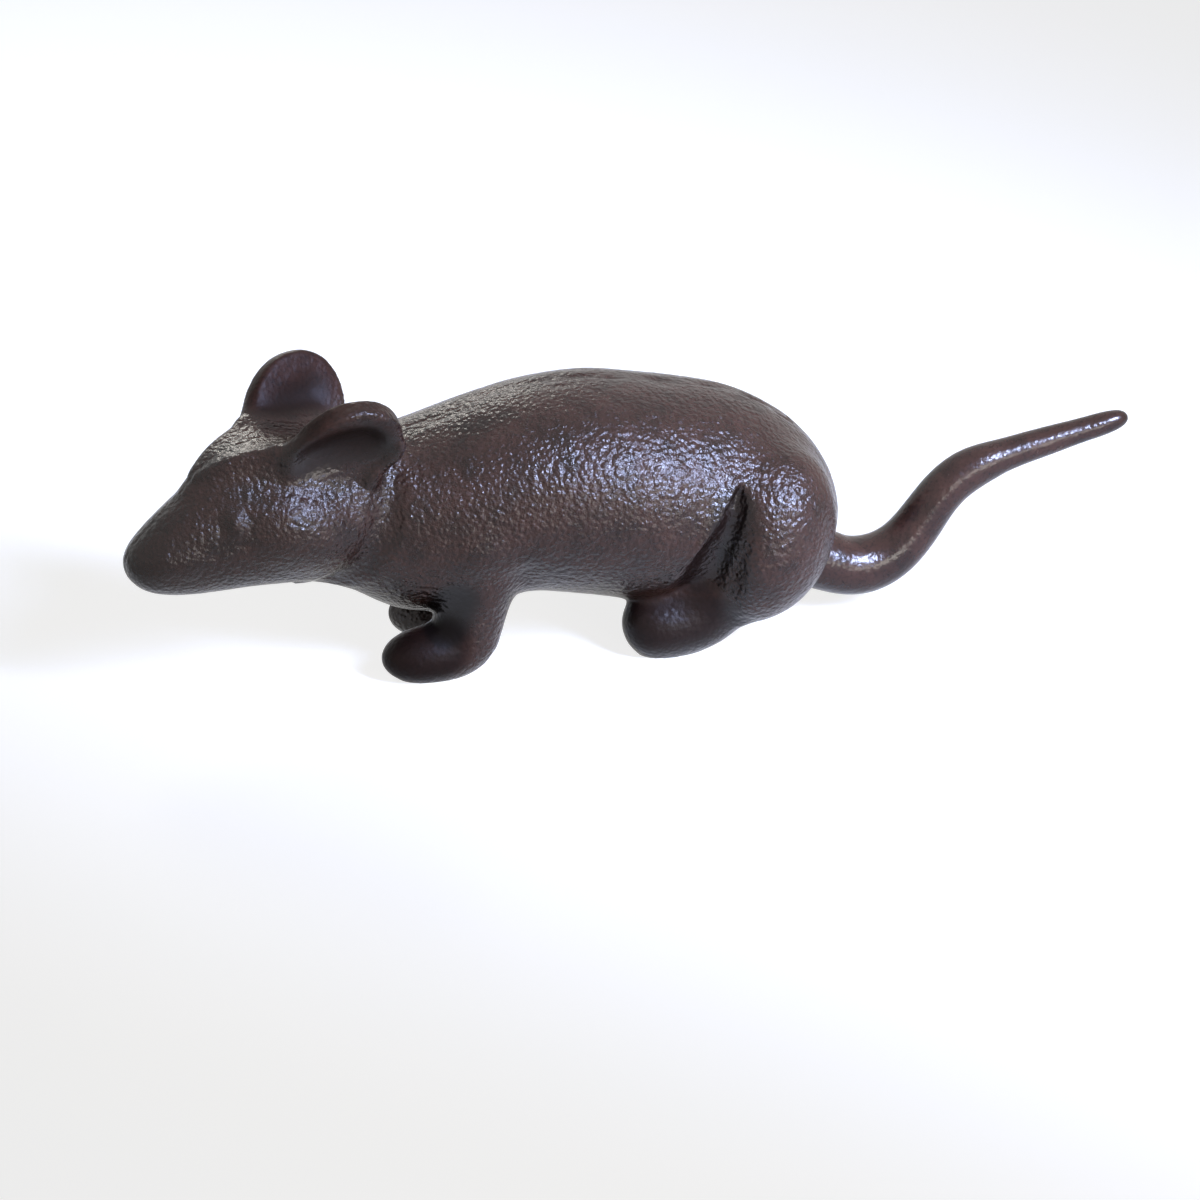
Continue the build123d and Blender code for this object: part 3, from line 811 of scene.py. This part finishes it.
class FIGURINE_OT_half_castings(bpy.types.Operator):
    """Make the skins of the two half castings"""

    bl_idname = "figurine.half_castings"
    bl_label = "Half castings"

    def execute(self, context):
        sizes = context.scene.figurine_sizes
        finish = lacquered_cast_iron(context.scene.figurine_colours)
        spacing = sizes.skin_spacing * 1
        low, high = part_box("joining_screw")
        axis = (low + high) / 2
        head_seat = high.y - HEAD_HEIGHT
        stem = STEM_EXIT - STEM_START
        stem_plug = [STEM_START + stem * share for share in STEM_PLUG_SHARES]
        plugs = (
            (axis + Vector((0, low.y - axis.y - PLUG_OVERRUN, 0)), axis + Vector((0, head_seat - axis.y, 0)),
             SHANK_RADIUS + SHANK_PLUG_MARGIN),
            (*stem_plug, STEM_RADIUS + STEM_PLUG_MARGIN),
        )
        whole = remeshed("figure", ("left_half_casting", "right_half_casting"), plugs, WEBS, spacing)
        skin = Skin(whole.data)
        from_screw, run = along_axis(skin.points, axis, Vector((0, 1, 0)))
        from_stem, stem_run = along_axis(skin.points, STEM_START, stem)
        in_counterbore = (from_screw < COUNTERBORE_REACH) & (run > 0)
        in_tail_bore = (from_stem < STEM_RADIUS + TAIL_BORE_MARGIN) & (stem_run > 0)
        fitted = in_counterbore | in_tail_bore
        sole = skin.points[:, 2] < SOLE_HEIGHT
        free = np.where(fitted | sole, 0.0, 1.0)
        pourable = free.copy()
        places = mirrored_places(skin.points)
        for radius, share, path in SHARP_PLACES:
            blur = np.clip((near_path(places, path) - radius) / SHARP_BLUR + 1, 0, 1)
            pourable *= share + (1 - share) * blur
        skin.fill_creases(int((sizes.fillet_reach / spacing) ** 2), pourable)
        soft = np.zeros(len(places))
        for radius, path in SOFT_EDGES:
            soft = np.maximum(soft, np.clip(1 - (near_path(places, path) / radius) ** 2, 0, 1))
        skin.soften(int((sizes.soft_reach / spacing) ** 2), soft * free, 0)
        skin.soften(int(EDGE_PASSES * (sizes.edge_round / spacing) ** 2), free, EDGE_SWELL)
        model_figure(skin)
        skin.points[:, 2] = np.clip(skin.points[:, 2], 0, None)
        skin.write()
        dull = np.zeros(len(places))
        for radius, share, path in DULL_PLACES:
            dull = np.maximum(dull, share * nearness(places, path, radius))
        on_sole = skin.points[:, 2] < SOLE_GRAIN_HEIGHT
        grain = np.where(on_sole, SOLE_GRAIN, 1 - DULL_GRAIN_LOSS * dull)
        # Painted shade: points deep in hollows, and the listed shaded places, get the near-black colour
        hollow_shade = skin.hollows(int((sizes.hollow_shade_reach / spacing) ** 2))
        for radius, share, thick_runs_and_shade, path in SMOOTH_PLACES:
            near = nearness(places, path, radius)
            grain *= 1 - (1 - share) * near
            hollow_shade = np.maximum(hollow_shade, thick_runs_and_shade * near)
        for layer, values in (("grain", grain), ("dull", dull), ("hollow_shade", hollow_shade)):
            set_layer(whole.data, layer, values)
        grow_grain(whole, sizes, finish, BODY_SEED)
        for name, right in (("left_half_casting", False), ("right_half_casting", True)):
            finish_piece(half_of(whole, name + "_skin", right), name, finish)
        bpy.data.objects.remove(whole)
        return {"FINISHED"}


class FIGURINE_OT_tail(bpy.types.Operator):
    """Make the skin of the tail casting"""

    bl_idname = "figurine.tail"
    bl_label = "Tail casting"

    def execute(self, context):
        sizes = context.scene.figurine_sizes
        finish = bpy.data.materials["lacquered_cast_iron"]
        piece = remeshed("tail_casting_skin", ("tail_casting",), (), (), sizes.tail_spacing)
        skin = Skin(piece.data)
        skin.soften(TAIL_PASSES, np.ones(len(skin.points)), TAIL_SWELL)
        skin.write()
        set_layer(piece.data, "grain", np.full(len(skin.points), TAIL_GRAIN))
        grow_grain(piece, sizes, finish, TAIL_SEED)
        finish_piece(piece, "tail_casting", finish)
        return {"FINISHED"}


class FIGURINE_OT_screw(bpy.types.Operator):
    """Make the slotted screw that joins the halves"""

    bl_idname = "figurine.screw"
    bl_label = "Joining screw"

    def execute(self, context):
        sizes = context.scene.figurine_sizes
        low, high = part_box("joining_screw")
        axis = (low + high) / 2
        head_radius = (high.x - low.x) / 2
        bevel = SCREW_BEVEL
        steps = SCREW_STEPS
        start = low.y + TIP_LEAD
        seat = high.y - HEAD_HEIGHT
        rings = [(low.y, SHANK_RADIUS - TIP_DROP, 0), (start, SHANK_RADIUS, 1)]
        rows = int((seat - low.y - 2 * TIP_LEAD) / sizes.thread_pitch * THREAD_ROWS)
        for row in range(1, rows):
            rings.append((start + row * sizes.thread_pitch / THREAD_ROWS, SHANK_RADIUS, 1))
        rings += [(seat, SHANK_RADIUS, 0), (seat, head_radius - bevel / 2, 0),
                  (seat + bevel / 2, head_radius, 0), (high.y - bevel, head_radius, 0),
                  (high.y, head_radius - bevel, 0)]
        made = bmesh.new()
        loops = []
        for y, radius, threaded in rings:
            loop = []
            for step in range(steps):
                angle = 2 * pi * step / steps
                turn = ((y - low.y) / sizes.thread_pitch + step / steps) % 1
                dip = threaded * THREAD_DEPTH * abs(2 * turn - 1)
                loop.append(made.verts.new((axis.x + (radius - dip) * cos(angle), y,
                                            axis.z + (radius - dip) * sin(angle))))
            loops.append(loop)
        for first, second in zip(loops[:-1], loops[1:]):
            for step in range(steps):
                after = (step + 1) % steps
                made.faces.new((first[step], second[step], second[after], first[after]))
        made.faces.new(loops[0])
        made.faces.new(loops[-1][::-1])
        bmesh.ops.recalc_face_normals(made, faces=made.faces[:])
        mesh = bpy.data.meshes.new("joining_screw_turned")
        made.to_mesh(mesh)
        made.free()
        piece = bpy.data.objects.new("joining_screw_turned", mesh)
        context.scene.collection.objects.link(piece)
        slot = bmesh.new()
        bmesh.ops.create_cube(slot, size=1, matrix=Matrix.Translation((axis.x, high.y, axis.z))
                              @ Matrix.Diagonal((4 * head_radius, 2 * SLOT_DEPTH, SLOT_WIDTH, 1)))
        cutter_mesh = bpy.data.meshes.new("slot_cutter")
        slot.to_mesh(cutter_mesh)
        slot.free()
        cutter = bpy.data.objects.new("slot_cutter", cutter_mesh)
        context.scene.collection.objects.link(cutter)
        cut = piece.modifiers.new("slot", "BOOLEAN")
        cut.operation = "DIFFERENCE"
        cut.object = cutter
        piece.data = evaluated(piece, "joining_screw_turned")
        bpy.data.objects.remove(cutter)
        bpy.data.meshes.remove(cutter_mesh)
        finish_piece(piece, "joining_screw", turned_steel(context.scene.figurine_colours))
        piece.data.set_sharp_from_angle(angle=SCREW_SHARP)
        return {"FINISHED"}


class FIGURINE_OT_stage(bpy.types.Operator):
    """Set the floor, the lights, the background and the camera"""

    bl_idname = "figurine.stage"
    bl_label = "Stage"

    def execute(self, context):
        scene = context.scene
        stage = scene.figurine_stage
        half = FLOOR_HALF
        mesh = bpy.data.meshes.new("floor")
        mesh.from_pydata([(-half, -half, 0), (half, -half, 0), (half, half, 0), (-half, half, 0)], [],
                         [(0, 1, 2, 3)])
        floor = bpy.data.objects.new("floor", mesh)
        mesh.materials.append(pale_floor(scene.figurine_colours))
        scene.collection.objects.link(floor)

        back = self.direction(stage.azimuth, stage.elevation)
        turn = (-back).to_track_quat("-Z", "Y")
        right, up = turn @ Vector((1, 0, 0)), turn @ Vector((0, 1, 0))
        lens = bpy.data.cameras.new("camera")
        lens.sensor_width = SENSOR_WIDTH
        lens.lens = lens.sensor_width * stage.distance / stage.frame_width
        camera = bpy.data.objects.new("camera", lens)
        camera.location = back * stage.distance + right * stage.aim_right + up * stage.aim_up
        camera.rotation_mode = "QUATERNION"
        camera.rotation_quaternion = turn
        scene.collection.objects.link(camera)
        scene.camera = camera

        for light in LIGHTS:
            self.soft_box(*light)
        self.background(scene)
        scene.view_settings.view_transform = "Standard"
        return {"FINISHED"}

    @staticmethod
    def direction(azimuth, elevation):
        """From the figurine towards a place at an azimuth and elevation."""
        return Vector((sin(azimuth) * cos(elevation), -cos(azimuth) * cos(elevation), sin(elevation)))

    def soft_box(self, name, azimuth, elevation, distance, size, power, colour, aim, spread):
        """A rectangular soft light that faces a place on the figurine's length, gridded to a spread."""
        light = bpy.data.lights.new(name, "AREA")
        light.shape = "RECTANGLE"
        light.size, light.size_y = size
        light.energy = power
        light.color = linear(colour)
        light.spread = radians(spread)
        lamp = bpy.data.objects.new(name, light)
        toward = self.direction(radians(azimuth), radians(elevation))
        middle = Vector((LIGHT_MIDDLE_X, 0, (cad_low.z + cad_high.z) / 2))
        lamp.location = middle + toward * distance
        lamp.rotation_mode = "QUATERNION"
        facing = Vector((aim * MM, 0, middle.z)) - lamp.location
        lamp.rotation_quaternion = facing.to_track_quat("-Z", "Y")
        bpy.context.scene.collection.objects.link(lamp)

    @staticmethod
    def background(scene):
        """White behind the floor for the camera and gloss, and a low even light for everything else."""
        world = bpy.data.worlds.new("studio")
        world.use_nodes = True
        tree = world.node_tree
        tree.nodes.clear()
        seen = node(tree, "ShaderNodeBackground", None, {"Color": (1, 1, 1, 1), "Strength": 1.0})
        room = node(tree, "ShaderNodeBackground", None,
                    {"Color": (*linear(ROOM_COLOUR), 1), "Strength": ROOM_STRENGTH})
        both = node(tree, "ShaderNodeMixShader", None, None,
                    {0: background_rays(tree), 1: room.outputs[0], 2: seen.outputs[0]})
        node(tree, "ShaderNodeOutputWorld", None, None, {"Surface": both.outputs[0]})
        scene.world = world


class FIGURINE_PT_sidebar(bpy.types.Panel):
    """Sizes, colours and steps of the figurine"""

    bl_idname = "FIGURINE_PT_sidebar"
    bl_label = "Cast-iron mouse"
    bl_space_type = "VIEW_3D"
    bl_region_type = "UI"
    bl_category = "Figurine"

    def draw(self, context):
        scene = context.scene
        for group in (scene.figurine_sizes, scene.figurine_colours, scene.figurine_stage):
            for name in group.bl_rna.properties.keys():
                if name not in ("rna_type", "name"):
                    self.layout.prop(group, name)
        for step in STEPS:
            self.layout.operator(step.bl_idname)


STEPS = (FIGURINE_OT_half_castings, FIGURINE_OT_tail, FIGURINE_OT_screw, FIGURINE_OT_stage)
GROUPS = {
    "figurine_sizes": FigurineSizes,
    "figurine_colours": FigurineColours,
    "figurine_stage": FigurineStage,
}
CLASSES = (*GROUPS.values(), *STEPS, FIGURINE_PT_sidebar)


def register():
    """Adds the classes and the scene's settings."""
    for item in CLASSES:
        bpy.utils.register_class(item)
    for name, group in GROUPS.items():
        setattr(bpy.types.Scene, name, bpy.props.PointerProperty(type=group))


def unregister():
    """Takes the settings and the classes out again."""
    for name in GROUPS:
        delattr(bpy.types.Scene, name)
    for item in reversed(CLASSES):
        bpy.utils.unregister_class(item)


def main():
    register()
    bpy.ops.figurine.half_castings()
    bpy.ops.figurine.tail()
    bpy.ops.figurine.screw()
    bpy.ops.figurine.stage()


if __name__ == "__main__":
    main()
